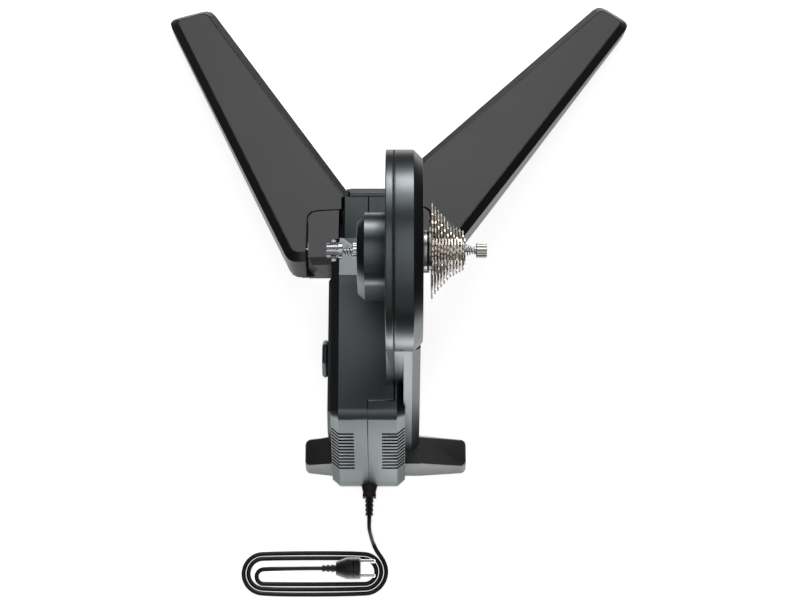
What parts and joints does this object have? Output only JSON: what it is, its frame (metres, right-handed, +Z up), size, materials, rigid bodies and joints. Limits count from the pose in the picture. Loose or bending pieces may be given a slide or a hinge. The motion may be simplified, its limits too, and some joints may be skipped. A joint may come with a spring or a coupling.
{
  "type": "direct drive bike trainer",
  "caption": "Indoor bike trainer with a motor disc in place of the rear wheel, a toothed cassette, a quick release, two fold-up floor wings, a rear foot bar and a mains lead.",
  "frame": {"origin": "on the floor, under the middle of the trainer's box taken without its mains lead", "axes": "+X along the wheel axle to the cassette side, +Y forwards to the tips of the wings, +Z up"},
  "size_m": [0.6524, 0.8469, 0.459],
  "materials": {
    "shell_grey": "satin moulded shell, blue-grey",
    "wing_black": "satin black powder coat on castings",
    "panel_grey": "fine textured dark grey inlay",
    "cast_black": "black painted casting",
    "steel": "ground or plated steel",
    "nickel": "nickel plated pressed steel cogs",
    "dark_metal": "black anodised aluminium",
    "rubber": "moulded rubber",
    "copper": "varnished copper windings on a laminated core",
    "board": "green solder mask",
    "cable": "black flexible cable jacket"
  },
  "bodies": {
    "base": {"left_housing": "shell_grey", "right_housing": "shell_grey", "side_cap": "shell_grey", "base_frame": "cast_black", "rear_foot": "cast_black", "rear_pad_left": "rubber", "rear_pad_right": "rubber", "left_hinge_block": "cast_black", "left_hinge_cover": "panel_grey", "right_hinge_block": "cast_black", "right_hinge_cover": "panel_grey", "stator": "copper", "bearing_inner": "steel", "bearing_outer": "steel", "axle": "steel", "axle_end_cap_left": "steel", "axle_end_cap_right": "steel", "skewer_rod": "steel", "cam_housing": "steel", "cam_pin": "steel", "cone_spring_left": "steel", "cone_spring_right": "steel", "control_board": "board", "power_supply": "dark_metal", "mains_inlet": "cable", "mains_connector": "cable", "power_cord": "cable", "cord_bundle": "cable", "mains_plug": "cable"},
    "left_wing": {"left_wing": "wing_black", "left_wing_panel": "panel_grey", "left_hinge_pin": "steel", "left_wing_foot": "rubber"},
    "right_wing": {"right_wing": "wing_black", "right_wing_panel": "panel_grey", "right_hinge_pin": "steel", "right_wing_foot": "rubber"},
    "rotor": {"rotor": "cast_black", "magnet_ring": "steel", "hub_flange": "steel"},
    "cassette": {"freehub_body": "dark_metal", "lockring": "dark_metal", "cog_28t": "nickel", "cog_25t": "nickel", "cog_23t": "nickel", "cog_21t": "nickel", "cog_19t": "nickel", "cog_17t": "nickel", "cog_15t": "nickel", "cog_14t": "nickel", "cog_13t": "nickel", "cog_12t": "nickel", "cog_11t": "nickel"},
    "lever": {"skewer_lever": "steel"},
    "nut": {"thumb_nut": "dark_metal"}
  },
  "joints": [
    {"name": "left_wing_fold", "type": "hinge", "parent": "base", "child": "left_wing", "pos_m": [-0.1194, -0.02982, 0.148], "axis": [0.4146, 0.8701, 0.2665], "range_deg": [0, 111.18]},
    {"name": "right_wing_fold", "type": "hinge", "parent": "base", "child": "right_wing", "pos_m": [0.04061, -0.03182, 0.1607], "axis": [0.3451, -0.9145, -0.2112], "range_deg": [0, 108.88]},
    {"name": "rotor_spin", "type": "hinge", "parent": "base", "child": "rotor", "pos_m": [0.00161, -0.14342, 0.338], "axis": [1, 0, 0], "continuous": true},
    {"name": "cassette_spin", "type": "hinge", "parent": "base", "child": "cassette", "pos_m": [0.00161, -0.14342, 0.338], "axis": [1, 0, 0], "continuous": true},
    {"name": "skewer_lever", "type": "hinge", "parent": "base", "child": "lever", "pos_m": [-0.07809, -0.14342, 0.338], "axis": [0, 0.9397, 0.342], "range_deg": [0, 180]},
    {"name": "skewer_nut", "type": "hinge", "parent": "base", "child": "nut", "pos_m": [0.00161, -0.14342, 0.338], "axis": [1, 0, 0], "continuous": true}
  ]
}
